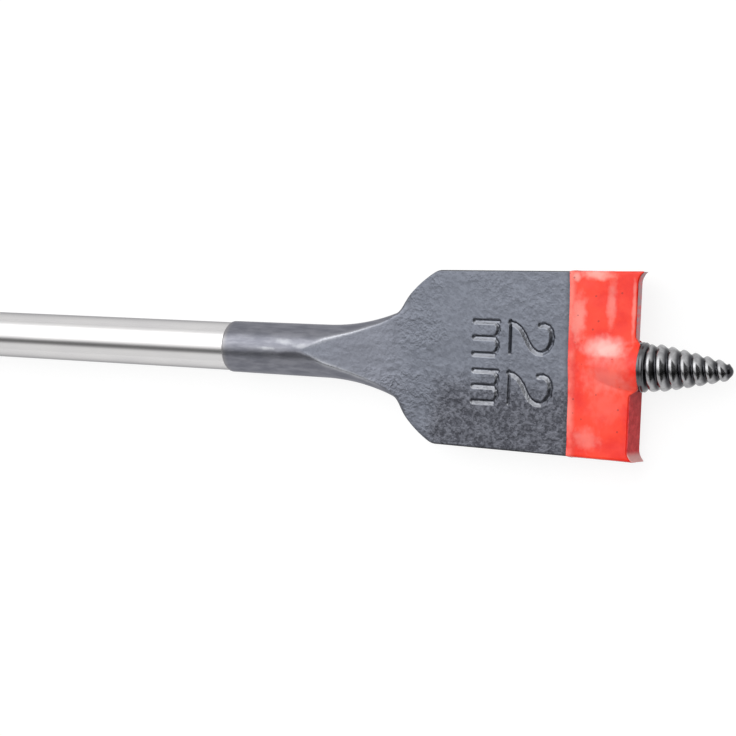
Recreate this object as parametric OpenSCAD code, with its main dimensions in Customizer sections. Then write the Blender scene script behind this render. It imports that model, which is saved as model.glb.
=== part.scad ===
// Spade drill bit for wood with a threaded lead screw and a lacquered cutting end.
// Units are millimetres. +X runs along the axis from the shank's rear end to the screw's tip,
// the blade lies in the XY plane and +Z is the side of the blade that carries the size mark.

/* [Overall] */
// Length from the rear end of the shank to the tip of the screw
overall_l = 152; // [130:1:200]

/* [Shank] */
// Width of the hexagonal drive end across its flats
hex_af = 6.35; // [6:0.05:8]
// Length of the hexagonal drive end
hex_l = 28; // [22:1:40]
// Length of the rounding at each end of the hexagon, measured at its corners
hex_round_l = 1.1; // [0.6:0.1:1.6]
// Diameter of the flat rear end inside its rounding
end_face_d = 5.4; // [4.6:0.1:5.8]
// Distance from the rear end to the middle of the detent groove
groove_x = 9.5; // [7:0.5:14]
// Radius of the groove's round section
groove_r = 2.4; // [1.5:0.1:3]
// Diameter at the bottom of the groove
groove_d = 5.3; // [4.6:0.1:5.8]
// Diameter of the round ground shank
shank_d = 6.3; // [5.6:0.05:6.5]

/* [Neck] */
// Diameter of the forged neck where its flare starts
neck_d = 6.78; // [6.6:0.02:7.6]
// How much thinner the neck is at its rear edge
neck_draw = 0.1; // [0:0.02:0.2]
// Length of the neck, from its rear edge to the blade's shoulders
neck_l = 24.2; // [20:0.1:30]
// Length of the sloping step from the shank up to the neck
neck_step_l = 0.5; // [0.2:0.1:1.5]
// Width of the flared neck where it meets the blade's shoulders
neck_root_w = 10.9; // [9.5:0.1:13]
// Length of the flare
flare_l = 9.9; // [7:0.1:14]
// Length of the hollow ramp from the neck's top line down to the blade's face
ramp_l = 13.7; // [11:0.1:16]
// How far the ramp runs on past the shoulders
ramp_overrun = 2.1; // [1.5:0.1:4]

/* [Blade] */
// Cutting width over the spurs
blade_w = 22; // [20:0.5:32]
// Length of the blade's sides, from the lips back to the shoulders
blade_l = 25; // [20:0.5:32]
// Thickness of the blade
blade_t = 2.6; // [2:0.1:3.4]
// How much each side draws in between the lips and the shoulder
side_relief = 0.35; // [0:0.05:0.8]
// Length of the rounded shoulders
shoulder_l = 5.1; // [4:0.1:7]
// Radius of the rounded shoulders
shoulder_r = 13.5; // [11:0.5:30]

/* [Lips and spurs] */
// Angle of the ground relief behind each cutting lip
lip_relief_deg = 18; // [6:1:25]
// How far the corner spurs stand ahead of the lips
spur_h = 0.65; // [0.3:0.05:1.2]
// Width of each spur at its foot
spur_w = 1.4; // [0.8:0.1:2.2]

/* [Lead screw] */
// Length of the screw ahead of the lips
screw_l = 10.5; // [8:0.5:14]
// Diameter of the screw over its full thread
screw_d = 5.8; // [5:0.1:6.4]
// Pitch of the right-hand thread
thread_pitch = 1.33; // [1:0.01:1.8]
// Height of the thread
thread_h = 0.42; // [0.25:0.01:0.55]
// Length of full diameter before the screw tapers
screw_straight_l = 2.9; // [2:0.1:4]
// Half angle of the screw's taper
screw_taper_deg = 15; // [10:0.5:17]
// Radius of the screw's blunt nose
nose_r = 0.65; // [0.4:0.05:0.8]
// Plain collar between the lips and the thread
collar_l = 1.0; // [0.6:0.1:1.4]
// Length over which the screw's root fades out on the blade's faces
boss_l = 6.3; // [4:0.1:9]

/* [Lacquer] */
// Length of the lacquered end, measured back from the lips
lacquer_l = 8.1; // [4:0.1:14]
// Thickness of the lacquer
lacquer_t = 0.15; // [0.08:0.01:0.4]
// Width of bare steel left along the lips
bare_lip = 0.4; // [0.1:0.05:1]

/* [Hidden] */
$fn = 64;

steel_color = "#7d8089";
ground_color = "#cfd2d6";
screw_color = "#4a4b50";
lacquer_color = "#ff4f3c";

// Stations along the axis
lip_x = overall_l - screw_l;
shoulder_x = lip_x - blade_l;
root_x = shoulder_x - shoulder_l;
flare_x = root_x - flare_l;
neck_x = root_x - neck_l;
ramp_end_x = root_x + ramp_overrun;
front_x = lip_x + spur_h;
lacquer_x = lip_x - lacquer_l;

// Radii of the turned forms
shank_r = shank_d / 2;
neck_r = neck_d / 2;
neck_rear_r = neck_r - neck_draw / 2;
hex_corner_r = hex_af / 2 / cos(30);
// Each end of the hexagon is rounded by a ball: its centre lies this far inside that end
rear_ball_x = ball_depth(end_face_d / 2);
front_ball_x = ball_depth(shank_r);
flare_rise = neck_root_w / 2 - neck_r;
flare_r = arc_radius(flare_l, flare_rise);

// The ramps dip a little below the blade's faces, so they meet them at a clear edge
ramp_dip = 0.05;
ramp_drop = neck_r - blade_t / 2 + ramp_dip;
ramp_r = arc_radius(ramp_l, ramp_drop);

// Half widths of the blade at its ends, and of the shoulder where it starts inside the neck
tip_hw = blade_w / 2;
shoulder_hw = tip_hw - side_relief;
buried_hw = neck_root_w / 2 - 0.45;
buried_x = root_x - 0.2;

// The spur's hollow is an arc that leaves the lip square to the axis
spur_r = arc_radius(spur_w, spur_h);
cutter_reach = 2 * spur_r + spur_h;

// The root of the screw starts inside the blade and swells to the collar
collar_r = screw_d / 2;
boss_start_r = blade_t / 2 - 0.1;
boss_ahead = 0.3;
boss_end_r = collar_r + 0.1;
boss_r = arc_radius(boss_l + boss_ahead, boss_end_r - boss_start_r);

// Thread form along one pitch: share of the pitch, share of the height
THREAD_FORM = [[0, 1], [0.16, 1], [0.36, 0.25], [0.5, 0], [0.66, 0], [0.84, 0.45]];
thread_rows = len(THREAD_FORM);
turn_steps = 24;
// The sweep starts hidden in the collar, more than one pitch before the collar's end
sweep_x = collar_l - 0.2 - thread_pitch;
sweep_turns = floor((screw_l - nose_r / 2 - sweep_x) / thread_pitch) - 1;
core_r = collar_r - thread_h;

// Radius of an arc that leaves a line tangentially and has risen by rise after run
function arc_radius(run, rise) = (run * run + rise * rise) / (2 * rise);

// Depth of a ball's centre, for a ball that leaves face_r at the hexagon's end and rounds its corners
function ball_depth(face_r) =
    (hex_corner_r * hex_corner_r - face_r * face_r + hex_round_l * hex_round_l) / (2 * hex_round_l);

// Centre of a circle of radius r through points a and b, on the right of the way from a to b
function arc_centre(a, b, r) =
    let (half = norm(b - a) / 2, way = (b - a) / norm(b - a))
    (a + b) / 2 + sqrt(r * r - half * half) * [way[1], -way[0]];

function clamp01(v) = min(1, max(0, v));

// Radius of the screw's core at distance x ahead of the lips: straight, tapered, then a round nose
function core_radius(x) =
    let (
        taper = core_r - max(0, x - screw_straight_l) * tan(screw_taper_deg),
        ahead = max(0, x - screw_l + nose_r),
        nose = sqrt(max(0, nose_r * nose_r - ahead * ahead))
    )
    max(0.05, ahead > 0 ? min(taper, nose) : taper);

// Height of the thread at x: it grows out of the collar and runs out at the nose
function thread_height(x) =
    thread_h * clamp01((x - collar_l + 0.2) / thread_pitch) * clamp01((screw_l - nose_r - x) / thread_pitch);

// One point of the thread sweep: row counts along the axis, step counts round the turn
function thread_point(row, step) =
    let (
        form = THREAD_FORM[row % thread_rows],
        x = sweep_x + thread_pitch * (floor(row / thread_rows) + form[0] + step / turn_steps),
        r = core_radius(x) + form[1] * thread_height(x),
        a = 360 * step / turn_steps
    )
    [x, r * cos(a), r * sin(a)];

module along_x() {
    rotate([0, 90, 0]) children();
}

// Hexagonal drive end, rounded at both ends, with the round groove for a chuck's detent ball
module hex_drive() {
    buried = 0.2;
    along_x() difference() {
        intersection() {
            rotate(30) cylinder(r = hex_corner_r, h = hex_l + buried, $fn = 6);
            union() {
                translate([0, 0, rear_ball_x]) {
                    sphere(norm([end_face_d / 2, rear_ball_x]));
                    cylinder(r = hex_af, h = hex_l - rear_ball_x - front_ball_x);
                }
                translate([0, 0, hex_l - front_ball_x]) sphere(norm([shank_r, front_ball_x]));
            }
        }
        translate([0, 0, groove_x])
            rotate_extrude() translate([groove_d / 2 + groove_r, 0]) circle(groove_r);
    }
}

// Round shank, ground to size between the hexagon and the neck
module round_shank() {
    buried = 0.3;
    start = hex_l - front_ball_x;
    translate([start, 0, 0]) along_x() cylinder(r = shank_r, h = neck_x + buried - start);
}

// Half section of the neck: radius across, distance along the axis upwards
module neck_section() {
    polygon([
        [0, neck_x],
        [shank_r, neck_x],
        [neck_rear_r, neck_x + neck_step_l],
        [neck_r, flare_x],
        [0, flare_x]
    ]);
    difference() {
        translate([0, flare_x]) square([neck_r + flare_r, ramp_end_x - flare_x]);
        translate([neck_r + flare_r, flare_x]) circle(flare_r);
    }
}

// Side view of the space between the two hollow ramps
module ramp_section() {
    difference() {
        translate([neck_x, -neck_d]) square([ramp_end_x - neck_x, 2 * neck_d]);
        for (side = [-1, 1])
            translate([ramp_end_x, side * (blade_t / 2 - ramp_dip + ramp_r)]) circle(ramp_r);
    }
}

// Forged neck: a turned flare pressed flat by the ramps, which leaves a V-shaped ridge on each face
module neck() {
    intersection() {
        along_x() rotate_extrude() neck_section();
        rotate([90, 0, 0]) linear_extrude(height = blade_w, center = true) ramp_section();
    }
}

// Outline of the blade with its rounded shoulders
module blade_outline() {
    centre = arc_centre([buried_x, buried_hw], [shoulder_x, shoulder_hw], shoulder_r);
    intersection() {
        translate([buried_x, -blade_w]) square([shoulder_x - buried_x, 2 * blade_w]);
        translate(centre) circle(shoulder_r);
        mirror([0, 1]) translate(centre) circle(shoulder_r);
    }
    blade_sides(shoulder_x, 0);
}

// Straight sides of the blade from station x to its front, grown on each side
module blade_sides(x, grow) {
    draw = side_relief / blade_l;
    rear_hw = tip_hw - draw * (lip_x - x) + grow;
    front_hw = tip_hw + grow;
    polygon([[x, -rear_hw], [front_x, -front_hw], [front_x, front_hw], [x, rear_hw]]);
}

// What the grinding of the lips takes away, on both halves, moved back along the axis
module lip_grinding(back) {
    reach = 4 * blade_t;
    for (turn = [0, 180])
        rotate([turn, 0, 0])
            translate([lip_x - back, 0, blade_t / 2])
                rotate([0, lip_relief_deg, 0])
                    linear_extrude(height = 2 * reach, center = true) {
                        square([cutter_reach, tip_hw - spur_w]);
                        translate([spur_r, tip_hw - spur_w]) circle(spur_r);
                    }
}

module blade_slab() {
    linear_extrude(height = blade_t, center = true) blade_outline();
}

module blade() {
    difference() {
        blade_slab();
        lip_grinding(0);
    }
}

// Swelling on both faces from which the screw grows: its profile is an arc that ends along the axis
module screw_boss(grow) {
    translate([lip_x, 0, 0]) along_x() rotate_extrude() intersection() {
        translate([0, -boss_l]) square([boss_end_r + grow, boss_l + boss_ahead]);
        translate([boss_end_r - boss_r, boss_ahead]) circle(boss_r + grow);
    }
}

module screw_collar() {
    translate([lip_x, 0, 0]) along_x() cylinder(r = collar_r, h = collar_l);
}

// Tapered right-hand thread, swept as one helical strip and closed at both ends on the axis
module screw_thread() {
    last = sweep_turns * thread_rows;
    tail = turn_steps - 1;
    points = concat(
        [for (row = [0:last], step = [0:tail]) thread_point(row, step)],
        [[sweep_x, 0, 0], [screw_l, 0, 0]]
    );
    rear = (last + 1) * turn_steps;
    tip = rear + 1;
    // Step past the end of a turn is the first step, one whole thread further on
    function at(row, step) = step == turn_steps ? at(row + thread_rows, 0) : row * turn_steps + step;
    faces = concat(
        [for (row = [0:last - 1], step = [0:tail])
            if (step < tail || row + thread_rows < last)
                for (face = [
                    [at(row, step), at(row + 1, step + 1), at(row, step + 1)],
                    [at(row, step), at(row + 1, step), at(row + 1, step + 1)]
                ]) face],
        [for (step = [0:tail]) [rear, at(0, step), at(0, step + 1)]],
        [for (row = [0:thread_rows - 1]) [rear, at(row + 1, 0), at(row, 0)]],
        [for (step = [0:tail - 1]) [tip, at(last, step + 1), at(last, step)]],
        [for (row = [last - thread_rows:last - 1]) [tip, at(row, tail), at(row + 1, tail)]],
        [[tip, at(last, 0), at(last - thread_rows, tail)]]
    );
    translate([lip_x, 0, 0]) polyhedron(points, faces);
}

// The bit is one forging: shank, neck, blade and lead screw
module forged_bit() {
    color(ground_color) {
        hex_drive();
        round_shank();
    }
    color(steel_color) {
        neck();
        blade();
        screw_boss(0);
    }
    color(screw_color) {
        screw_collar();
        screw_thread();
    }
}

// Red lacquer over both faces and sides of the cutting end, set back from the lips
module tip_lacquer() {
    color(lacquer_color) difference() {
        union() {
            linear_extrude(height = blade_t + 2 * lacquer_t, center = true)
                blade_sides(lacquer_x, lacquer_t);
            screw_boss(lacquer_t);
        }
        blade_slab();
        screw_boss(0);
        lip_grinding(bare_lip);
        translate([front_x - bare_lip, -blade_w, -blade_w]) cube([2 * bare_lip, 2 * blade_w, 2 * blade_w]);
    }
}

forged_bit();
tip_lacquer();
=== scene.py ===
"""Spade drill bit lying on a white ground: the forged steel bit and the red lacquer on its cutting end.

Lengths are in millimetres in the part's frame: +X runs from the shank's rear end to the screw's tip, the
blade lies in the XY plane and +Z is the side that carries the size mark.
"""

import math

import bpy
import numpy as np
from mathutils import Matrix, Vector


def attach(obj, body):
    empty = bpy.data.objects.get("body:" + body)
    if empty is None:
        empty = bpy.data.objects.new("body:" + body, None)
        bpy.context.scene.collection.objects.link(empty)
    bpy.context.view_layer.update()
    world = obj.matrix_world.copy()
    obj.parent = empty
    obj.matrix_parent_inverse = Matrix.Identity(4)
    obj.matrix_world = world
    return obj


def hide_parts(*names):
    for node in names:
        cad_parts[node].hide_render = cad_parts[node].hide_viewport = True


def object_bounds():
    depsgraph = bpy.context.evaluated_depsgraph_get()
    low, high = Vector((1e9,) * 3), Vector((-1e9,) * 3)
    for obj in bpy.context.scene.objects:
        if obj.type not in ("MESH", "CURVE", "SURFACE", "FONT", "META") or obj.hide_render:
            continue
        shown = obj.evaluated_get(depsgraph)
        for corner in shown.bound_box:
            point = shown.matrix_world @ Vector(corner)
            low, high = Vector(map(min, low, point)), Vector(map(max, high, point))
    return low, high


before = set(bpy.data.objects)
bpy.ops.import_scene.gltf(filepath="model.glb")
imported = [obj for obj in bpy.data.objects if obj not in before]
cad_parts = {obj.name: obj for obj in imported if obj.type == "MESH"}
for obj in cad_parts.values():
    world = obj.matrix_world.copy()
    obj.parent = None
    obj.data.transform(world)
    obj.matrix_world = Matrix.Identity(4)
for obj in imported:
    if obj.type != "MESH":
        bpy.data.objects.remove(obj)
size_at_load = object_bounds()

MM = 0.001

# Stations along the axis, from the shank's rear end
HEX_L, GROOVE_X = 28.0, 9.5
NECK, APEX, FLARE, ROOT = 87.2, 99.0, 101.5, 111.4
SHOULDER, LACQUER, LIP, TIP = 116.5, 133.4, 141.5, 152.0

# Hexagonal end: half width, radius of its flat end, length of the rounding at its corners
HEX_HALF, END_R, END_ROUND = 3.175, 2.7, 1.1
# Detent groove: radius of its arc, radius left at its bottom
GROOVE_R, GROOVE_BOTTOM = 2.4, 2.65
# Round shank
SHANK_R = 3.15

# Neck: radius, how much thinner it is at the rear, rounding of its rear edge, where it starts to grow
NECK_R, NECK_THIN, NECK_EDGE, NECK_STEP = 3.39, 0.05, 0.4, 0.5
# Flare: half width at the shoulders, and its length, which ends just inside the blade
FLARE_HALF, FLARE_L = 5.45, 10.2
# Pressed ramps: length, and half width between the two ridges of the V at stations along the axis
RAMP_L = 14.8
RIDGE = ((APEX, 0), (102.2, 1.5), (105.9, 2.6), (109.3, 3.85), (ROOT, 5.0), (112.2, 5.7))

# Blade: half thickness, half width, how much a side draws in, rounding of the sheared edges, shoulders
HALF_T, HALF_W, SIDE_RELIEF, EDGE, SHOULDER_R = 1.3, 11.0, 0.35, 0.2, 13.5
# Ground front: slope of the relief behind the lips, width and height of the spurs
RELIEF, SPUR_W, SPUR_H = math.tan(math.radians(18)), 1.4, 0.65

# Screw: boss on the blade's faces, plain collar, thread and nose
BOSS_L, COLLAR_L, COLLAR_R = 6.3, 0.3, 2.95
SCREW_L, PITCH, THREAD_H, NOSE_R = TIP - LIP, 1.33, 0.32, 0.8

# Lacquer: distance from the lips, film, bead along the rear edge, depth of its bed in the steel,
# slope of the rear edge across the blade
SET_BACK, FILM, BEAD, BED, DIP = 0.4, 0.12, 0.1, 0.03, 0.025


def arc_radius(run, rise):
    """Radius of an arc that leaves a line tangentially and has risen by rise after run."""
    return (run * run + rise * rise) / (2 * rise)


def arc_rise(x, radius):
    """Rise of that arc at x."""
    return radius - np.sqrt(np.maximum(radius * radius - x * x, 0))


def smooth(a, b, x):
    """Soft step from 0 at a to 1 at b."""
    t = np.clip((x - a) / (b - a), 0, 1)
    return t * t * (3 - 2 * t)


def soft_max(a, b, k):
    """Larger of a and b, with a rounding of width k where they cross."""
    h = np.clip(0.5 + 0.5 * (a - b) / k, 0, 1)
    return b * (1 - h) + a * h + k * h * (1 - h)


def lattice_noise(x, y, seed):
    """Smooth noise from -1 to 1 with a period of about one unit."""
    x, y = np.broadcast_arrays(x, y)
    ix, iy = np.floor(x), np.floor(y)
    fx, fy = x - ix, y - iy
    fx, fy = fx * fx * (3 - 2 * fx), fy * fy * (3 - 2 * fy)

    def corner(i, j):
        v = np.sin((ix + i) * 127.1 + (iy + j) * 311.7 + seed * 74.7) * 43758.5453
        return v - np.floor(v)

    low = corner(0, 0) * (1 - fx) + corner(1, 0) * fx
    high = corner(0, 1) * (1 - fx) + corner(1, 1) * fx
    return 2 * (low * (1 - fy) + high * fy) - 1


# Outline of the neck and blade

FLARE_R = arc_radius(ROOT - FLARE, FLARE_HALF - NECK_R)


def neck_radius(x):
    """Radius of the turned neck: rounded rear edge, slight growth, then the flare."""
    u = np.clip((x - NECK - NECK_EDGE) / NECK_EDGE, 0, 1)
    rear_edge = NECK_EDGE * (1 - np.sqrt(1 - (1 - u) ** 2))
    grown = np.clip((x - NECK - NECK_STEP) / (FLARE - NECK - NECK_STEP), 0, 1)
    flare = arc_rise(np.clip(x - FLARE, 0, FLARE_L), FLARE_R)
    return NECK_R - NECK_THIN * (1 - grown) - rear_edge + flare


def sharp_half_width(x):
    """Half width of the neck, the round shoulders and the sides, which draw in towards the shoulders."""
    # The shoulder's arc starts inside the flare and ends on the side
    start, end = np.array([ROOT - 0.2, 5.0]), np.array([SHOULDER, HALF_W - SIDE_RELIEF])
    gap = np.linalg.norm(end - start)
    way = (end - start) / gap
    inward = math.sqrt(SHOULDER_R ** 2 - (gap / 2) ** 2)
    cx, cy = (start + end) / 2 + inward * np.array([way[1], -way[0]])
    shoulder = cy + np.sqrt(np.maximum(SHOULDER_R ** 2 - (np.minimum(x, SHOULDER) - cx) ** 2, 0))
    side = HALF_W - SIDE_RELIEF * (LIP - np.minimum(x, LIP)) / (LIP - SHOULDER)
    blade = np.where(x < SHOULDER, shoulder, side)
    return np.where(x < start[0], neck_radius(x), np.maximum(neck_radius(x), blade))


def half_width(x):
    """Half width of the neck and blade, with slightly rounded corners in the outline."""
    plain = sharp_half_width(x)
    rounded = sum(sharp_half_width(x + d) for d in (-0.4, -0.2, 0, 0.2, 0.4)) / 5
    k = smooth(ROOT - 2, ROOT - 1, x) * (1 - smooth(SHOULDER + 1, SHOULDER + 2, x))
    return plain + (rounded - plain) * k


def ramp_height(x):
    """Half thickness left between the two pressed ramps."""
    way = np.clip((x - APEX) / RAMP_L, 0, 1)
    return HALF_T + (NECK_R - HALF_T) * 0.5 * (1 + np.cos(math.pi * way))


def ridge_half(x):
    """Half width of a ramp between its two ridges, from the point of the V to the shoulders."""
    stations, halves = zip(*RIDGE)
    return np.interp(x, stations, halves)


def boss_radius(x):
    """Root of the screw where it swells out of the blade."""
    way = np.clip((x - LIP + BOSS_L) / (BOSS_L + COLLAR_L), 0, 1)
    return HALF_T + (COLLAR_R - HALF_T) * way ** 0.8


def front_shift(y, z):
    """How far the ground front lies ahead of the lips: relief on each half, spurs at the corners."""
    upper = smooth(-1.5, 1.5, y)
    relief = RELIEF * (upper * (HALF_T - z) + (1 - upper) * (HALF_T + z))
    onto_spur = np.clip(np.abs(y) - (HALF_W - SPUR_W), 0, SPUR_W)
    return arc_rise(onto_spur, arc_radius(SPUR_W, SPUR_H)) - relief


# Size mark

def size_mark():
    """Strokes of the mark: centre line, its place across and up from the lips, half width and depth."""
    two = [(0.35, 3.75), (0.28, 4.2), (0.5, 4.75), (1.0, 5.1), (1.75, 5.25), (2.6, 5.12), (3.3, 4.7),
           (3.65, 4.05), (3.6, 3.4), (3.15, 2.75), (2.4, 2.25), (1.5, 1.8), (0.75, 1.25), (0.3, 0.6),
           (0.18, 0.05)]
    base = [(-0.05, 0.03), (1.8, 0.05), (3.85, 0.06)]
    tall_stem, stem = [(0, -0.15), (0, 2.75)], [(0, -0.15), (0, 2.35)]
    arch = [(0.1, 2.35), (0.55, 2.72), (1.1, 2.82), (1.6, 2.62), (1.92, 2.2)]
    strokes = []
    for across, up in ((-4.8, -15.5), (1.23, -15.45)):
        strokes += [(two, across, up, 0.33, 0.25), (base, across, up, 0.18, 0.22)]
    for across, up, pitch in ((-4.68, -19.75, 1.98), (1.25, -19.65, 1.88)):
        for k, line in enumerate((tall_stem, stem, stem)):
            strokes.append((line, across + k * pitch, up, 0.35, 0.25))
        for k in range(2):
            strokes.append((arch, across + k * pitch, up, 0.26, 0.2))
    return strokes


def mark_depth(x, y):
    """Depth of the size mark at points of the marked face."""
    # The punch leant a little: its walls are steep on one side and shallow on the other
    lean_up, lean_across = 0.3, -0.34
    depth = np.zeros(np.broadcast(x, y).shape)
    px, py = np.broadcast_arrays(-y, x - LIP)
    for line, across, up, half, deep in size_mark():
        best = np.full(depth.shape, 9.0)
        for (ax, ay), (bx, by) in zip(line[:-1], line[1:]):
            ax, ay, dx, dy = ax + across, ay + up, bx - ax, by - ay
            t = np.clip(((px - ax) * dx + (py - ay) * dy) / (dx * dx + dy * dy), 0, 1)
            ox, oy = px - ax - t * dx, py - ay - t * dy
            gap = np.hypot(ox, oy)
            lean = (lean_up * oy + lean_across * ox) / np.maximum(gap, 1e-6)
            best = np.minimum(best, gap / (half * (1 - lean)))
        groove = np.clip(1 - best, 0, 1)
        depth = np.maximum(depth, deep * groove * (1.3 - 0.3 * groove))
    return depth


# Meshes

def mesh_object(name, verts, faces):
    mesh = bpy.data.meshes.new(name)
    mesh.from_pydata((np.asarray(verts) * MM).tolist(), [], faces)
    mesh.validate()
    obj = bpy.data.objects.new(name, mesh)
    bpy.context.scene.collection.objects.link(obj)
    return obj


def grid_faces(rows, cols, flip, start=0):
    """Quads of a grid whose columns close into a ring."""
    i = np.arange(rows - 1)[:, None] * cols
    j = np.arange(cols)[None, :]
    k = (j + 1) % cols
    quad = np.stack([i + j, i + k, i + cols + k, i + cols + j], axis=-1).reshape(-1, 4) + start
    return (quad[:, ::-1] if flip else quad).tolist()


def zip_faces(upper, lower, y_upper, y_lower):
    """Triangles between two chains of vertices that both run towards +Y, facing +X."""
    faces, i, j = [], 0, 0
    while i < len(upper) - 1 or j < len(lower) - 1:
        if j == len(lower) - 1 or (i < len(upper) - 1 and y_upper[i + 1] <= y_lower[j + 1]):
            faces.append((upper[i], lower[j], upper[i + 1]))
            i += 1
        else:
            faces.append((upper[i], lower[j], lower[j + 1]))
            j += 1
    return faces


def turned(name, xs, radius, around):
    """Closed body round the axis: radius is a function of the station and the angle from +Y to +Z."""
    a = np.arange(around)[None, :] * 2 * math.pi / around
    x = np.asarray(xs)[:, None]
    r = radius(x, a) + 0 * a
    grid = np.stack([x + 0 * a, r * np.cos(a), r * np.sin(a)], axis=-1).reshape(-1, 3)
    verts = np.concatenate([grid, [[xs[0], 0, 0], [xs[-1], 0, 0]]])
    rear, front, last = len(grid), len(grid) + 1, (len(xs) - 1) * around
    faces = grid_faces(len(xs), around, False)
    for j in range(around):
        k = (j + 1) % around
        faces.append((rear, k, j))
        faces.append((front, last + j, last + k))
    return mesh_object(name, verts, faces)


def shank_radius(x, a):
    """Radius of the hexagonal end, rounded by a ball at each end and grooved, and of the round shank."""
    corner = HEX_HALF / math.cos(math.radians(30))
    hexagon = HEX_HALF / np.cos(np.mod(a, math.pi / 3) - math.pi / 6)

    def ball(depth, face):
        centre = (corner ** 2 - face ** 2 + END_ROUND ** 2) / (2 * END_ROUND)
        return np.sqrt(np.maximum(face ** 2 + centre ** 2 - np.maximum(centre - depth, 0) ** 2, 0.01))

    r = np.minimum(hexagon, np.minimum(ball(x, END_R), ball(HEX_L - x, SHANK_R)))
    off = np.abs(x - GROOVE_X)
    groove = GROOVE_BOTTOM + GROOVE_R - np.sqrt(np.maximum(GROOVE_R ** 2 - off ** 2, 0))
    r = np.where(off < GROOVE_R, np.minimum(r, groove), r)
    return np.where(x > HEX_L - 0.6, np.maximum(r, SHANK_R), r)


def thread_form(share):
    """Height of the thread over one pitch: rounded crest, hollow flanks."""
    return np.interp(share, [0, 0.08, 0.18, 0.3, 0.42, 0.53, 0.62, 0.7, 0.76, 0.83, 0.91, 1],
                     [0.93, 1, 0.98, 0.86, 0.62, 0.33, 0.1, 0, 0.06, 0.36, 0.74, 0.93])


def screw_taper(s):
    """Radius of the screw's core at s ahead of the lips: nearly straight at first, then drawing in."""
    root, slope, bend_at = 2.53, 0.04, 2.4
    return root - slope * s - np.maximum(s - bend_at, 0) ** 1.15 * 0.135


def screw_radius(x, a):
    """Radius of the boss, the plain collar and the tapered right-hand thread with its blunt nose."""
    thread_from, collar_to = 0.8, 1.1
    s = x - LIP
    taper = screw_taper(s)
    ahead = np.maximum(s - SCREW_L + NOSE_R, 0)
    nose = np.sqrt(np.maximum(NOSE_R ** 2 - ahead ** 2, 0.002))
    core = np.where(ahead > 0, np.minimum(taper, nose), taper)
    grow = smooth(0.4, 1.4, s) * smooth(0, 0.5, SCREW_L - 0.2 - s)
    share = np.mod((s - thread_from + PITCH) / PITCH - a / (2 * math.pi), 1)
    thread = core + THREAD_H * grow * thread_form(share)
    collar = np.where(s < COLLAR_L, boss_radius(x), 2.9 - 0.45 * smooth(0.6, collar_to, s))
    return np.where(s < COLLAR_L, collar, np.where(s < collar_to, np.maximum(collar, thread), thread))


def head():
    """Neck and blade as one skin over sections along the axis, with the size mark sunk into its top."""
    # Sections and points across lie closest at the size mark and at the edges
    xs = np.concatenate([
        np.linspace(NECK + NECK_EDGE, 88.0, 10), np.arange(88.4, 98.8, 0.4), np.arange(99.0, 110.3, 0.2),
        np.arange(110.4, 113.5, 0.1), np.arange(113.6, 120.9, 0.25), np.arange(121.0, 131.8, 0.09),
        np.arange(131.95, LIP - 1.6, 0.3), np.linspace(LIP - 1.5, LIP, 9)])
    outer = np.concatenate([np.linspace(6.15, 10.6, 13), [10.74, 10.84, 10.92, 10.97, HALF_W]])
    top = np.concatenate([-outer[::-1], np.linspace(-5.85, 5.85, 124), outer]) / HALF_W
    under = np.concatenate([-outer[::-1], np.linspace(-5.4, 5.4, 13), outer]) / HALF_W
    x = xs[:, None]
    w = half_width(x)
    thick = np.minimum(w, ramp_height(x))
    flat = smooth(ROOT - 0.8, ROOT + 1.6, x)
    ridge = np.minimum(ridge_half(x), w - 0.3)
    bulge = 1.15 + 0.85 * np.exp(-np.maximum(x - APEX, 0) / 2.2)
    reach = (1 - flat) * (ridge + 0.75 * (w - ridge)) + flat * (w - 0.015)

    def profile(y):
        """Half thickness at y: forged on the neck, sheared on the blade."""
        past = soft_max(np.abs(y) - ridge, 0, 0.12 * smooth(APEX - 0.2, APEX + 0.4, x) + 1e-4)
        forged = thick * np.sqrt(np.maximum(1 - (past / (w - ridge)) ** bulge, 0))
        over = np.clip(np.abs(y) - (w - EDGE), 0, EDGE)
        sheared = HALF_T - EDGE + np.sqrt(EDGE ** 2 - over ** 2)
        return (1 - flat) * forged + flat * sheared

    def side(z):
        """Half width at z on the side of the same forms."""
        forged = ridge + (w - ridge) * np.maximum(1 - (z / thick) ** 2, 0) ** (1 / bulge)
        over = np.clip(np.abs(z) - (HALF_T - EDGE), 0, EDGE)
        return (1 - flat) * forged + flat * (w - EDGE + np.sqrt(EDGE ** 2 - over ** 2))

    def dents(y, seed):
        inside = smooth(0.1, 0.8, w - np.abs(y)) * smooth(NECK + 1, NECK + 3, x)
        inside = inside * (1 - smooth(LACQUER - 1, LACQUER, x))
        wide = lattice_noise(x / 3.1, y / 1.3, seed) * 0.016
        fine = lattice_noise(x / 1.3, y / 0.55, seed + 1) * 0.01
        return inside * (wide + fine)

    y_top, y_under = top * reach, under[::-1] * reach
    z_top = profile(y_top) - mark_depth(x, y_top) + dents(y_top, 3)
    z_under = -profile(y_under) - dents(y_under, 8)
    z_side = profile(reach) * np.linspace(1, -1, 8)[1:-1]
    y_side = side(z_side)
    y = np.concatenate([y_top, y_side, y_under, -y_side[:, ::-1]], axis=1)
    z = np.concatenate([z_top, z_side, z_under, z_side[:, ::-1]], axis=1)
    x = x + np.clip((x - LIP + 3) / 3, 0, 1) ** 1.5 * front_shift(y, z)
    rows, cols = y.shape
    verts = np.stack([x, y, z], axis=-1).reshape(-1, 3)
    verts = np.concatenate([verts, [[xs[0], 0, 0]]])
    faces = grid_faces(rows, cols, True)
    faces += [(rows * cols, j, (j + 1) % cols) for j in range(cols)]
    ring = (rows - 1) * cols + np.arange(cols)
    upper, lower = ring[:y_top.shape[1]], ring[y_top.shape[1]:][::-1]
    faces += zip_faces(upper.tolist(), lower.tolist(), verts[upper, 1], verts[lower, 1])
    return mesh_object("head", verts, faces)


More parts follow.
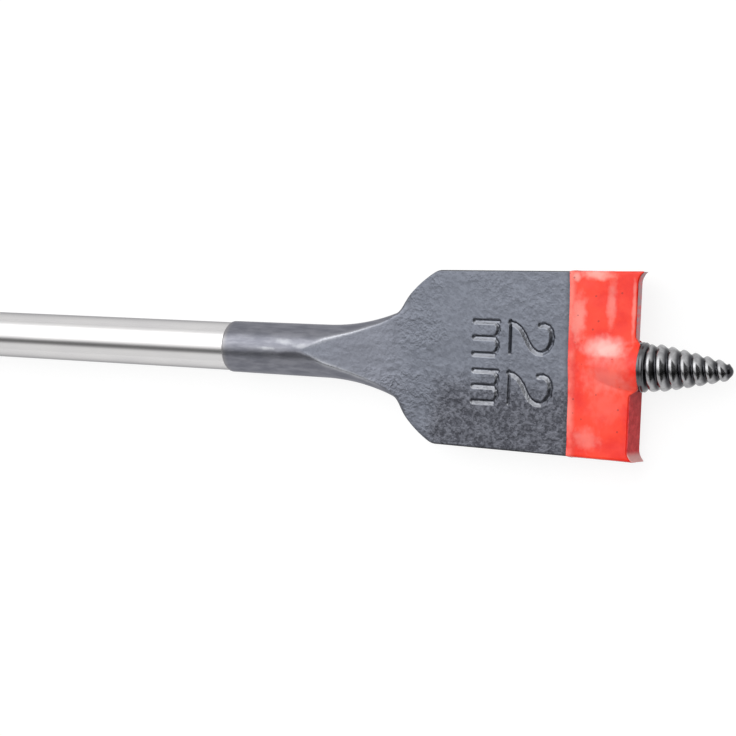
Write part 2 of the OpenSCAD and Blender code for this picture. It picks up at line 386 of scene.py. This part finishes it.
def united(name, parts):
    """One closed mesh from overlapping closed ones, which are removed."""
    first = parts[0]
    for other in parts[1:]:
        m = first.modifiers.new("join " + other.name, "BOOLEAN")
        m.operation = "UNION"
        m.solver = "MANIFOLD"
        m.object = other
    shape = first.evaluated_get(bpy.context.evaluated_depsgraph_get())
    mesh = bpy.data.meshes.new_from_object(shape)
    mesh.name = name
    obj = bpy.data.objects.new(name, mesh)
    bpy.context.scene.collection.objects.link(obj)
    for p in parts:
        bpy.data.objects.remove(p)
    return obj


def shade(obj, degrees):
    """Smooth shading, with sharp edges where faces meet at more than this angle."""
    obj.data.polygons.foreach_set("use_smooth", [True] * len(obj.data.polygons))
    obj.data.set_sharp_from_angle(angle=math.radians(degrees))


def places(elements, field):
    """The x, y and z of vertices or faces in millimetres."""
    co = np.zeros(len(elements) * 3, np.float32)
    elements.foreach_get(field, co)
    return co.reshape(-1, 3).astype(float).T / MM


def store(obj, name, values):
    """Keep one number per vertex for the materials."""
    layer = obj.data.attributes.new(name, "FLOAT", "POINT")
    layer.data.foreach_set("value", np.asarray(values, np.float32))


def steel_zones(bit):
    """Which steel each face shows: ground shank, forged scale, screw or ground lips."""
    shank, scale, screw, lips = range(4)
    x, y, z = places(bit.data.polygons, "center")
    r = np.hypot(y, z)
    zone = np.full(len(x), scale, np.int32)
    zone[(x < NECK) | ((x < NECK + 0.9) & (r < SHANK_R + 0.012))] = shank
    zone[(x > LIP - 0.2) & (r < 3.02)] = screw
    zone[(x > LIP - 1.1) & (zone == scale)] = lips
    return zone


def store_wear_and_light(bit):
    """Keep where the thread's crests, the rubbed ridges with their painted highlight, dark edges, painted
    shade at the root's corners, the mark and the pressed faces are.
    """
    x, y, z = places(bit.data.vertices, "co")
    crest = (np.hypot(y, z) - screw_taper(x - LIP)) / THREAD_H
    store(bit, "crest", np.clip(crest, 0, 1) * (0.35 + 0.65 * smooth(0.9, 1.4, x - LIP)))

    inside = half_width(x) - np.abs(y)
    past = np.abs(y) - ridge_half(x)
    rim = np.exp(-(inside / 0.22) ** 2) * smooth(ROOT - 1, ROOT + 0.5, x)
    rim *= 1 - 0.7 * smooth(SHOULDER + 0.5, SHOULDER - 1, x)
    # Pale ridges: rubbed scale, and a painted highlight where the ridges catch the light
    wide = 0.2 + 0.12 * smooth(APEX + 7, APEX + 2, x)
    ridge = np.where(y > 0, 0.5, 0.6) * np.exp(-(past / wide) ** 2)
    ridge *= smooth(APEX, APEX + 4, x) * (1 - 0.85 * smooth(ROOT - 5, ROOT - 1, x))
    ridge *= 1 - smooth(ROOT - 0.7, ROOT, x)
    # Painted shade at the root's corners beyond the ridges, darkening a glint there
    corner = smooth(0, 0.25, past) * smooth(1.2, 0.6, inside)
    corner *= smooth(ROOT - 1, ROOT - 0.4, x) * (1 - smooth(ROOT + 1.4, ROOT + 2.2, x))
    store(bit, "wear_and_light", np.clip(ridge - 0.7 * rim - 0.4 * corner, -1, 1))

    # Walls of the mark: dark on the sides turned from the light, bright on those turned to it
    step, full = 0.05, 0.04
    along = mark_depth(x + step, y) - mark_depth(x - step, y)
    over = mark_depth(x, y + step) - mark_depth(x, y - step)
    wall = np.clip(over / full, -1, 1) + np.clip(along / full, -1, 0.35)
    store(bit, "mark", np.clip(wall, -1, 1) * (z > 0.5))

    ramp = smooth(0.12, -0.12, past) * smooth(APEX - 0.2, APEX + 0.4, x)
    store(bit, "pressed", np.maximum(ramp, smooth(ROOT, ROOT + 0.8, x)))


def forged_bit():
    """The bit as one closed mesh: shank, neck with blade, and screw."""
    shank_x = np.concatenate([
        np.linspace(0, 2.2, 12), np.linspace(2.6, 6.8, 5), np.linspace(7.0, 12.0, 26),
        np.linspace(12.6, 25.6, 10), np.linspace(25.8, 28.2, 16), np.linspace(30, 89, 50)])
    shank = turned("shank", shank_x, shank_radius, 96)
    screw_x = np.concatenate([
        np.linspace(LIP - 6.4, LIP - 0.2, 27), np.linspace(LIP, LIP + 10.3, 150),
        [LIP + 10.38, LIP + 10.44, LIP + 10.48, TIP]])
    screw = turned("screw", screw_x, screw_radius, 88)
    bit = united("forged_bit_looks", [head(), shank, screw])
    shade(bit, 32)
    bit.data.materials.clear()
    for steel in (ground_steel(), forged_steel(), screw_steel(), stained_steel()):
        bit.data.materials.append(steel)
    bit.data.polygons.foreach_set("material_index", steel_zones(bit))
    store_wear_and_light(bit)
    return bit


def tip_lacquer():
    """Uneven shell of lacquer round the blade's end, beaded along its rear edge, set back from the lips."""
    length = LIP - LACQUER - SET_BACK
    d = np.concatenate([[0, 0.02, 0.06, 0.12, 0.19, 0.27], np.arange(0.36, length - 0.35, 0.13),
                        length - np.array([0.3, 0.2, 0.12, 0.06, 0.02, 0])])[:, None]
    x = LACQUER + d
    outer = np.concatenate([np.linspace(3.75, 10.5, 36), [10.66, 10.78, 10.88, 10.95, HALF_W]])
    across = np.concatenate([-outer[::-1], np.linspace(-3.6, 3.6, 61), outer]) / HALF_W
    w = half_width(x)
    # The coat rounds the blade's edges a little more than the steel does
    edge = 0.24

    def film(y, seed):
        """Thickness of the coat at y: waves, a bead behind, a run across one half, thin at both ends."""
        round_in = np.sqrt(1 - (1 - np.clip(d / 0.22, 0, 1)) ** 2)
        round_out = np.sqrt(1 - (1 - np.clip((length - d) / 0.2, 0, 1)) ** 2)
        wave = lattice_noise(x / 2.6 + 5, y / 2.1, seed) * 0.035
        wave = wave + lattice_noise(x / 1.1, y / 1.0 + 3, seed + 1) * 0.016
        bead_at = 0.45 + 0.15 * lattice_noise(y / 1.7, 0 * y, seed + 2)
        run_at = 4.3 + 0.25 * lattice_noise(y / 2.3, 0 * y, seed + 3)
        bead = BEAD * np.exp(-((d - bead_at) / 0.4) ** 2)
        run = 0.03 * np.exp(-((d - run_at) / 0.45) ** 2) * smooth(3.0, 5.0, y)
        return np.maximum(FILM + wave + bead + run, 0.04) * round_in * round_out

    def skin(y, t):
        """Height at y of a coat of thickness t, over the blade's face and the screw's boss."""
        over = np.clip(np.abs(y) - (w - edge), 0, edge)
        face = HALF_T - edge + np.sqrt(edge ** 2 - over ** 2) + t
        dome = np.sqrt(np.maximum((boss_radius(x) + t) ** 2 - y ** 2, 0))
        return soft_max(face, dome, 0.05 + 1.4 * smooth(LIP - BOSS_L, LIP - 2.5, x))

    def loop(grow):
        """Rings round the blade: the coat's outside where grow is 1, its bed in the steel where it is 0."""
        sunk = BED * (1 - grow)
        y = across * (w - 0.012)
        z_top = skin(y, film(y, 21) * grow - sunk)
        z_under = -skin(y, film(y, 31) * grow - sunk)[:, ::-1]
        z_side = (HALF_T - 0.12) * np.linspace(1, -1, 9)[1:-1] + 0 * d
        over = np.clip(np.abs(z_side) - (HALF_T - edge), 0, edge)
        t_side = film(w + 0 * z_side, 41) * grow * 0.55 - sunk
        y_side = w - edge + np.sqrt(edge ** 2 - over ** 2) + t_side
        ys = np.concatenate([y, y_side, y[:, ::-1], -y_side[:, ::-1]], axis=1)
        zs = np.concatenate([z_top, z_side, z_under, z_side[:, ::-1]], axis=1)
        # The front edge follows the lips, the relief's edge and the boss, and the rear edge runs aslant
        dome = smooth(3.5, 2.5, np.abs(ys))
        shift = front_shift(ys, np.clip(zs, -HALF_T, HALF_T)) + 0.125 - 0.175 * np.sign(ys * zs)
        shift = shift * (1 - dome) + 0.55 * dome
        xs = x + np.clip((d - length + 3) / 3, 0, 1) ** 1.5 * shift
        aslant = lattice_noise(ys / 2.2, zs / 3, 51) * 0.07 - 0.2 - DIP * ys
        xs = xs + (1 - np.clip(d / 3, 0, 1)) * aslant
        return np.stack([xs, ys, zs], axis=-1)

    coat, bed = loop(1.0), loop(0.0)
    rows, cols = coat.shape[:2]
    verts = np.concatenate([coat.reshape(-1, 3), bed.reshape(-1, 3)])
    under, end = rows * cols, (rows - 1) * cols
    faces = grid_faces(rows, cols, True) + grid_faces(rows, cols, False, under)
    for j in range(cols):
        k = (j + 1) % cols
        faces.append((j, k, under + k, under + j))
        faces.append((end + k, end + j, under + end + j, under + end + k))
    shell = mesh_object("tip_lacquer_looks", verts, faces)
    shade(shell, 60)
    shell.data.materials.append(lacquer())
    return shell


# Materials

def rgb(red, green, blue):
    return red, green, blue, 1


class Nodes:
    """Node tree under construction. A value is a number, a colour or the output of another node."""

    def __init__(self, owner):
        owner.use_nodes = True
        self.tree = owner.node_tree
        self.tree.nodes.clear()

    def add(self, kind, props=None, **inputs):
        """New node with its inputs by name, or by number as in i0, and its outputs as the result."""
        new = self.tree.nodes.new("ShaderNode" + kind)
        for key, value in (props or {}).items():
            setattr(new, key, value)
        for key, value in inputs.items():
            by_number = key[0] == "i" and key[1:].isdigit()
            socket = new.inputs[int(key[1:]) if by_number else key.replace("_", " ")]
            if isinstance(value, bpy.types.NodeSocket):
                self.tree.links.new(value, socket)
            else:
                socket.default_value = value
        return new.outputs

    def math(self, operation, a, b=0.0):
        return self.add("Math", {"operation": operation}, i0=a, i1=b)[0]

    def times(self, first, *others):
        for other in others:
            first = self.math("MULTIPLY", first, other)
        return first

    def plus(self, first, *others):
        for other in others:
            first = self.math("ADD", first, other)
        return first

    def ramp(self, value, low, high, a=0.0, b=1.0):
        """Soft change from a to b while the value goes from low to high."""
        return self.add("MapRange", {"interpolation_type": "SMOOTHSTEP"},
                        i0=value, i1=low, i2=high, i3=a, i4=b)[0]

    def mix(self, factor, a, b):
        """Colour between a and b."""
        return self.add("Mix", {"data_type": "RGBA"}, i0=factor, i6=a, i7=b)[2]

    def blend(self, factor, a, b):
        """Number between a and b."""
        return self.add("Mix", {"data_type": "FLOAT"}, i0=factor, i2=a, i3=b)[0]

    def split(self, vector):
        return self.add("SeparateXYZ", None, Vector=vector)

    def attribute(self, name):
        return self.add("Attribute", {"attribute_name": name})["Fac"]

    def noise(self, where, scale, stretch=(1, 1, 1), detail=4.0, rough=0.55, offset=(0, 0, 0)):
        at = self.add("Mapping", None, Vector=where, Scale=stretch, Location=offset)[0]
        return self.add("TexNoise", None, Vector=at, Scale=scale, Detail=detail, Roughness=rough)[0]

    def ragged(self, noise, strength):
        """A noise brought to swing round zero, for the edges of blobs."""
        return self.times(self.math("SUBTRACT", noise, 0.5), strength)

    def blob(self, where, centre, half, ragged):
        """Soft patch round a point of the blade's plan, its edge broken up by a noise."""
        at = self.add("Mapping", {"vector_type": "TEXTURE"},
                      Vector=where, Location=(*centre, 0), Scale=(*half, 1e4))[0]
        gap = self.add("VectorMath", {"operation": "LENGTH"}, Vector=at)["Value"]
        return self.ramp(self.plus(gap, ragged), 1.5, 0.2)

    def bump(self, height, strength, distance):
        return self.add("Bump", None, Height=height, Strength=strength, Distance=distance)[0]

    def surface(self, **inputs):
        shader = self.add("BsdfPrincipled", None, **inputs)[0]
        self.add("OutputMaterial", None, Surface=shader)


def material(name):
    """New material with its nodes, and the place on the part in millimetres."""
    m = bpy.data.materials.new(name)
    nodes = Nodes(m)
    place = nodes.add("TexCoord")["Object"]
    where = nodes.add("VectorMath", {"operation": "SCALE"}, Vector=place, Scale=1 / MM)[0]
    return m, nodes, where


def ground_steel():
    """Bright shank, ground round and lightly polished, duller on the drawn flats of the hexagonal end."""
    m, nodes, where = material("ground_steel")
    x = nodes.split(where)[0]
    on_hex = nodes.ramp(x, HEX_L + 0.3, HEX_L - 0.3)
    lines = nodes.noise(where, 1.0, (9, 0.15, 0.15), 3, 0.6)
    smear = nodes.noise(where, 0.35, (0.4, 1, 1), 3, 0.5)
    grain = nodes.noise(where, 1.6, (0.25, 1.5, 1.5), 4, 0.6)
    bright = nodes.mix(smear, rgb(0.60, 0.59, 0.60), rgb(0.71, 0.70, 0.69))
    drawn = nodes.mix(grain, rgb(0.33, 0.335, 0.35), rgb(0.5, 0.5, 0.51))
    rough = nodes.blend(on_hex, nodes.blend(lines, 0.13, 0.18), nodes.blend(grain, 0.26, 0.36))
    nodes.surface(Base_Color=nodes.mix(on_hex, bright, drawn), Metallic=1.0, Roughness=rough,
                  Normal=nodes.bump(lines, 0.05, 2e-5), Specular_Tint=rgb(0.45, 0.45, 0.46))
    return m


def forged_steel():
    """Dark blue-grey forged scale: smooth above, mottled towards the lower edge, pale along rubbed ridges,
    with painted highlight and painted shade in places.
    """
    m, nodes, where = material("forged_scale")
    x, y, _ = nodes.split(where)
    pressed, wear_and_light, mark = (nodes.attribute(name) for name in ("pressed", "wear_and_light", "mark"))
    streak = nodes.noise(where, 0.9, (1.0, 0.9, 1), 4, 0.55)
    worms = nodes.ramp(nodes.noise(where, 2.2, (1.05, 0.9, 1), 2, 0.5, (7, 2, 4)), 0.3, 0.7)
    grain = nodes.noise(where, 4.0, (1.1, 0.8, 1), 3, 0.55)
    cloud = nodes.noise(where, 0.22, (0.8, 1, 1), 3, 0.5, (3, 1, 0))

    # Scale on the ramps and the blade, coarser and darker towards the lower edge, paler on the ramps
    low = nodes.times(nodes.ramp(y, 2.0, -9.0), nodes.ramp(x, ROOT + 3.4, ROOT + 6.8, 0.25, 1.0), pressed)
    coarse = nodes.ramp(nodes.plus(low, nodes.times(cloud, 0.6)), 0.35, 1.15)
    mottle = nodes.plus(nodes.times(streak, 0.55), nodes.times(worms, 0.3), nodes.times(grain, 0.3))
    mottle = nodes.ramp(mottle, 0.36, 0.78)
    pale = nodes.mix(mottle, rgb(0.125, 0.134, 0.16), rgb(0.152, 0.163, 0.193))
    dull = nodes.mix(mottle, rgb(0.058, 0.06, 0.072), rgb(0.138, 0.143, 0.167))
    slope = nodes.times(nodes.ramp(x, ROOT + 3, ROOT - 3), nodes.ramp(x, APEX, APEX + 6, 0.15, 0.35))
    scale = nodes.mix(slope, nodes.mix(coarse, pale, dull), rgb(0.26, 0.268, 0.31))

    # Neck, drawn along the axis, rubbed at its rear edge, scuffed pale near the point of the V, where the
    # pale scuffs also serve as painted highlight, with a painted dark reflection line along it below the
    # axis
    drawn = nodes.noise(where, 0.9, (0.45, 1.7, 1.4), 4, 0.55, (2, 6, 1))
    neck = nodes.mix(nodes.ramp(drawn, 0.32, 0.68), rgb(0.152, 0.156, 0.182), rgb(0.222, 0.225, 0.253))
    rubbed = nodes.ramp(x, NECK + 1.4, NECK + 0.5, 0.0, 0.5)
    neck = nodes.mix(rubbed, neck, rgb(0.36, 0.345, 0.335))
    ragged = nodes.ragged(streak, 2.6)
    # The dark streak is a painted reflection line; the pale scuffs are also painted highlight
    pale_scuff_and_highlight, painted_dark_reflection = rgb(0.46, 0.47, 0.49), rgb(0.05, 0.05, 0.06)
    for centre, half, strength, tone in (
            ((97.3, -0.5), (2.3, 0.26), 0.5, painted_dark_reflection), ((96.5, 1.0), (1.1, 0.36), 0.34, pale_scuff_and_highlight),
            ((94.3, 0.05), (1.1, 0.2), 0.55, pale_scuff_and_highlight), ((99.2, 0.5), (1.0, 0.34), 0.36, pale_scuff_and_highlight)):
        neck_patch = nodes.times(nodes.blob(where, centre, half, ragged), strength)
        neck = nodes.mix(neck_patch, neck, tone)

    # Rubbed ridges with painted highlight, dark edges, painted shade at the root's corners and behind the
    # coat, and the walls of the size mark with painted shade and highlight
    colour = nodes.mix(pressed, neck, scale)
    worn_and_highlit = nodes.times(nodes.math("MAXIMUM", wear_and_light, 0.0), nodes.ramp(grain, 0.25, 0.6, 0.5, 1.0))
    colour = nodes.mix(worn_and_highlit, colour, rgb(0.55, 0.56, 0.59))
    colour = nodes.mix(nodes.ramp(wear_and_light, 0.0, -1.0, 0.0, 0.85), colour, rgb(0.045, 0.046, 0.045))
    level = nodes.plus(x, nodes.times(y, DIP))
    fringe = nodes.ramp(level, LACQUER - 0.8, LACQUER - 0.3, 0.0, 0.4)
    colour = nodes.mix(fringe, colour, rgb(0.05, 0.055, 0.06))
    colour = nodes.mix(nodes.ramp(mark, 0.0, -1.0, 0.0, 0.54), colour, rgb(0.02, 0.02, 0.024))
    shine = nodes.times(nodes.ramp(mark, 0.1, 1.0), nodes.ramp(y, 2.0, -3.0, 0.34, 0.62))
    colour = nodes.mix(shine, colour, rgb(0.42, 0.43, 0.46))

    rough = nodes.blend(pressed, 0.28, nodes.blend(coarse, 0.36, 0.46))
    height = nodes.plus(nodes.times(streak, 0.6), nodes.times(worms, 0.3), nodes.times(grain, 0.34))
    depth = nodes.blend(coarse, nodes.ramp(cloud, 0.42, 0.58, 0.25, 0.5), 1.0)
    depth = nodes.times(depth, nodes.ramp(x, APEX + 4, ROOT, 0.4, 1.6),
                        nodes.ramp(x, ROOT + 4, ROOT + 8, 1.0, 0.65))
    height = nodes.times(height, nodes.blend(pressed, 0.06, depth))
    nodes.surface(Base_Color=colour, Metallic=0.9, Roughness=rough,
                  Normal=nodes.bump(height, 0.9, 1.3e-4), Specular_Tint=rgb(0.62, 0.62, 0.65))
    return m


def screw_steel():
    """Dark polished thread, with painted shade in its roots and a painted highlight along its crests."""
    m, nodes, where = material("screw_steel")
    smear = nodes.noise(where, 1.4, (1, 1, 1), 4, 0.6)
    # Painted shade and highlight: dark in the thread's roots, bright along its crests
    crest = nodes.ramp(nodes.attribute("crest"), 0.1, 0.95)
    crest = nodes.times(crest, nodes.ramp(smear, 0.3, 0.65, 0.6, 1.0))
    nodes.surface(Base_Color=nodes.mix(crest, rgb(0.05, 0.05, 0.055), rgb(0.4, 0.4, 0.41)), Metallic=1.0,
                  Roughness=nodes.blend(smear, 0.14, 0.26), Normal=nodes.bump(smear, 0.25, 4e-5))
    return m


def stained_steel():
    """Ground lips and their relief, stained red by the lacquer on one half and nearly bare on the other,
    with a painted highlight on the lower spur.
    """
    m, nodes, where = material("stained_steel")
    y = nodes.split(where)[1]
    patch = nodes.noise(where, 1.3, (1, 1, 1), 5, 0.65)
    lines = nodes.noise(where, 1.0, (0.6, 0.6, 9), 2, 0.5)
    red = nodes.mix(nodes.ramp(patch, 0.35, 0.7), rgb(0.7, 0.004, 0.012), rgb(0.95, 0.05, 0.055))
    bare = nodes.times(nodes.ramp(y, -1.0, 1.0), nodes.ramp(patch, 0.3, 0.6, 0.45, 1.0))
    colour = nodes.mix(bare, red, rgb(0.3, 0.2, 0.21))
    # Painted highlight: pale pink on the lower spur
    colour = nodes.mix(nodes.ramp(y, -9.7, -10.5), colour, rgb(0.85, 0.42, 0.4))
    nodes.surface(Base_Color=colour, Metallic=0.1, Roughness=nodes.blend(lines, 0.28, 0.42),
                  Normal=nodes.bump(lines, 0.2, 3e-5), Specular_IOR_Level=0.25)
    return m


def lacquer():
    """Glossy red-orange lacquer with faint runs, pale where it is thin and where a highlight is painted,
    and with a painted highlight over the screw's boss.
    """
    m, nodes, where = material("red_lacquer")
    x, y, _ = nodes.split(where)
    cloud = nodes.noise(where, 0.35, (1, 1, 1), 4, 0.55)
    edges = nodes.noise(where, 1.3, (1, 0.8, 1), 2, 0.5, (5, 3, 1))
    ragged = nodes.ragged(edges, 1.5)
    red = nodes.mix(nodes.ramp(cloud, 0.3, 0.7), rgb(0.86, 0.014, 0.006), rgb(1.0, 0.05, 0.018))

    # Pale along the rear edge and in patches, partly where the coat is thin and partly painted highlight;
    # their places are given from the lips and from the axis
    level = nodes.plus(x, nodes.times(y, DIP))
    thin_and_highlight = nodes.times(nodes.ramp(level, LACQUER + 0.9, LACQUER + 0.1),
                       nodes.ramp(cloud, 0.35, 0.65, 0.12, 0.45))
    for along, across, half, strength in (
            (-7.3, 5.3, (0.9, 2.9), 0.58), (-3.4, 7.3, (0.5, 2.7), 0.46), (-5.3, 10.5, (2.0, 0.55), 0.9),
            (-0.8, 6.6, (0.22, 3.2), 0.5), (-3.5, -1.2, (2.8, 2.3), 0.32), (-5.8, -8.7, (1.7, 1.2), 0.36),
            (-3.6, -4.6, (2.0, 2.0), 0.15), (-7.7, 10.3, (0.5, 0.6), 0.9)):
        patch = nodes.blob(where, (LIP + along, across), half, ragged)
        thin_and_highlight = nodes.math("MAXIMUM", thin_and_highlight, nodes.times(patch, strength))
    red = nodes.mix(thin_and_highlight, red, rgb(1.0, 0.4, 0.34))

    # Painted highlight over the screw's boss
    shine = nodes.blob(where, (LIP - 3.9, 2.0), (2.4, 1.3), nodes.times(ragged, 0.5))
    shine = nodes.times(shine, nodes.ramp(y, 0.7, 1.3, 0.25, 0.95))
    red = nodes.mix(shine, red, rgb(1.0, 0.52, 0.47))
    speck = nodes.add("TexVoronoi", None, Vector=where, Scale=0.75)["Distance"]
    red = nodes.mix(nodes.times(nodes.ramp(speck, 0.12, 0.06), 0.6), red, rgb(0.3, 0.01, 0.01))
    nodes.surface(Base_Color=red, Roughness=0.2, Specular_IOR_Level=0.36,
                  Normal=nodes.bump(cloud, 0.5, 1.5e-4))
    return m


# Ground, light and camera

def ground():
    """White floor with a low rim that leans outwards, so that low views have a white background too."""
    floor_half, rim_half, rise = 2.0, 3.2, 0.6
    z = size_at_load[0].z
    corners = ((-1, -1), (1, -1), (1, 1), (-1, 1))
    verts = [(floor_half * x, floor_half * y, z) for x, y in corners]
    verts += [(rim_half * x, rim_half * y, z + rise) for x, y in corners]
    walls = [(j, 4 + j, 4 + (j + 1) % 4, (j + 1) % 4) for j in range(4)]
    mesh = bpy.data.meshes.new("ground")
    mesh.from_pydata(verts, [], [(0, 1, 2, 3)] + walls)
    obj = bpy.data.objects.new("ground", mesh)
    bpy.context.scene.collection.objects.link(obj)
    m = bpy.data.materials.new("white_ground")
    nodes = Nodes(m)
    path = nodes.add("LightPath")
    seen = nodes.math("MAXIMUM", path["Is Camera Ray"], path["Is Glossy Ray"])
    seen = nodes.math("MAXIMUM", seen, path["Is Transmission Ray"])
    matt = nodes.add("BsdfDiffuse", None, Color=rgb(0.18, 0.18, 0.18))[0]
    lift = nodes.add("Emission", None, Color=rgb(1, 1, 1), Strength=nodes.times(seen, 0.86))[0]
    nodes.add("OutputMaterial", None, Surface=nodes.add("AddShader", None, i0=matt, i1=lift)[0])
    mesh.materials.append(m)


def light():
    """Studio: a large bright side, a softer side, a dark slit between them, dark above the tip."""
    world = bpy.data.worlds.new("studio")
    bpy.context.scene.world = world
    nodes = Nodes(world)
    x, y, z = nodes.split(nodes.add("TexCoord")["Generated"])
    # Degrees round the part's axis, from straight up towards +Y
    psi = nodes.times(nodes.math("ARCTAN2", y, z), 180 / math.pi)
    key = nodes.times(nodes.ramp(psi, -25.0, -4.0), nodes.ramp(psi, 100.0, 42.0, 0.46, 1.0))
    fill = nodes.ramp(psi, -30.0, -50.0)
    peak = nodes.times(nodes.ramp(psi, -12.0, 22.0), nodes.ramp(psi, 66.0, 32.0))
    base = 0.2
    level = nodes.plus(nodes.times(key, 1.15), nodes.times(fill, 0.77), nodes.times(peak, 1.3), base)
    above = nodes.times(nodes.ramp(psi, 58.0, 44.0), nodes.ramp(psi, -88.0, -66.0),
                        nodes.ramp(x, 0.14, 0.36), nodes.ramp(z, 0.2, 0.34))
    level = nodes.times(level, nodes.math("SUBTRACT", 1.0, nodes.times(above, 0.96)))
    studio = nodes.add("Background", None, Color=rgb(1, 1, 1), Strength=level)[0]
    nodes.add("OutputWorld", None, Surface=studio)


def camera():
    """The photograph's view, from a camera fitted to its outline, in metres."""
    eye, target = Vector((0.174871, 0.003988, 0.156537)), Vector((0.10709, -0.00187, 0.0))
    roll = math.radians(2.384)
    data = bpy.data.cameras.new("camera")
    data.lens, data.sensor_width = 66.28, 36.0
    data.clip_start, data.clip_end = 0.01, 20.0
    obj = bpy.data.objects.new("camera", data)
    bpy.context.scene.collection.objects.link(obj)
    back = (eye - target).normalized()
    right = Vector((0, 1, 0)).cross(back).normalized()
    turn = Matrix((right, back.cross(right), back)).transposed()
    obj.matrix_world = Matrix.Translation(eye) @ (turn @ Matrix.Rotation(roll, 3, "Z")).to_4x4()
    bpy.context.scene.camera = obj


for piece, cad_node, slot_name in ((forged_bit(), "forged_bit", "forged_steel"),
                                   (tip_lacquer(), "tip_lacquer", "red_lacquer")):
    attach(piece, "root")
    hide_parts(cad_node)
ground()
light()
camera()
bpy.context.scene.view_settings.view_transform = "Standard"
